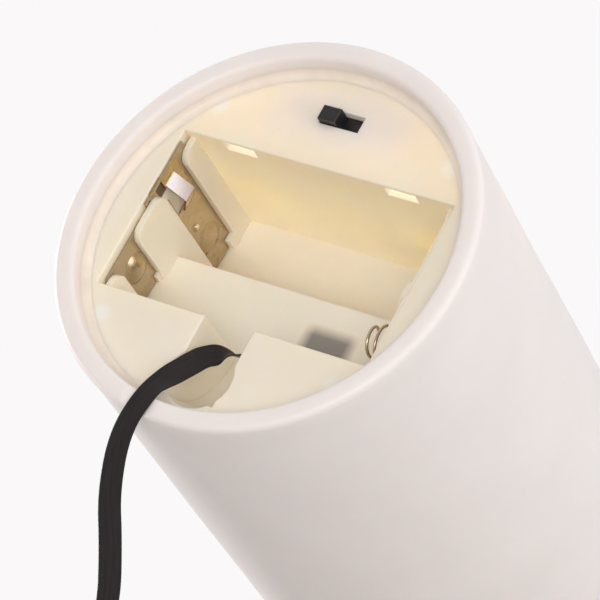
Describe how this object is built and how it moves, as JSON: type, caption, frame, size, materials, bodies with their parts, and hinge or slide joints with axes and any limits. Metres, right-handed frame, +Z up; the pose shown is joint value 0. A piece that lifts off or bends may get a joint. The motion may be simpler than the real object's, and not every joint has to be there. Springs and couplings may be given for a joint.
{
  "type": "flameless led candle",
  "caption": "Free-standing wax pillar candle lit by an LED flame, with an open battery bay, slide switch and pull ribbon in its recessed base.",
  "frame": {"origin": "centre of the rim that the candle stands on", "axes": "+Z up the candle to its flame, +X along the battery bay to its spring end, +Y to the side where the pull ribbon leaves, -Y to the switch"},
  "size_m": [0.076, 0.1344, 0.1676],
  "materials": {
    "wax": "smooth ivory-white wax, faintly translucent",
    "cream_plastic": "natural cream moulded plastic, faintly translucent",
    "plated_steel": "nickel-plated spring steel sheet",
    "spring_wire": "nickel-plated spring wire",
    "switch_can": "tinned steel can",
    "brown_board": "phenolic paper board",
    "black_plastic": "moulded black plastic",
    "screw_steel": "bright zinc-plated steel",
    "capacitor_sleeve": "heat-shrunk sleeve",
    "resistor_body": "lacquered body",
    "white_plastic": "moulded white plastic",
    "led_lens": "clear epoxy",
    "flame": "translucent milky plastic",
    "ribbon": "black satin",
    "red_wire": "PVC insulation",
    "black_wire": "PVC insulation"
  },
  "bodies": {
    "candle": {"wax_shell": "wax", "battery_housing": "cream_plastic", "contact_left_link": "plated_steel", "contact_left_positive": "plated_steel", "contact_right_link": "plated_steel", "contact_right_negative": "plated_steel", "spring_single_cell": "spring_wire", "spring_far_cell": "spring_wire", "switch_case": "switch_can", "switch_insulator": "brown_board", "switch_terminals": "plated_steel", "switch_screws": "screw_steel", "circuit_board": "brown_board", "board_screws": "screw_steel", "timer_chip": "black_plastic", "chip_legs": "plated_steel", "capacitor": "capacitor_sleeve", "resistor": "resistor_body", "transistor": "black_plastic", "light_mast": "white_plastic", "mast_screws": "screw_steel", "led_holder": "white_plastic", "led": "led_lens", "led_leads": "plated_steel", "flame_tip": "flame", "pull_ribbon": "ribbon", "wire_battery_to_switch": "red_wire", "wire_switch_to_board": "red_wire", "wire_battery_to_board": "black_wire", "wire_led_red": "red_wire", "wire_led_black": "black_wire"},
    "knob": {"switch_knob": "black_plastic"}
  },
  "joints": [
    {"name": "switch_slide", "type": "slide", "parent": "candle", "child": "knob", "axis": [1, 0, 0], "range_m": [0, 0.004]}
  ]
}
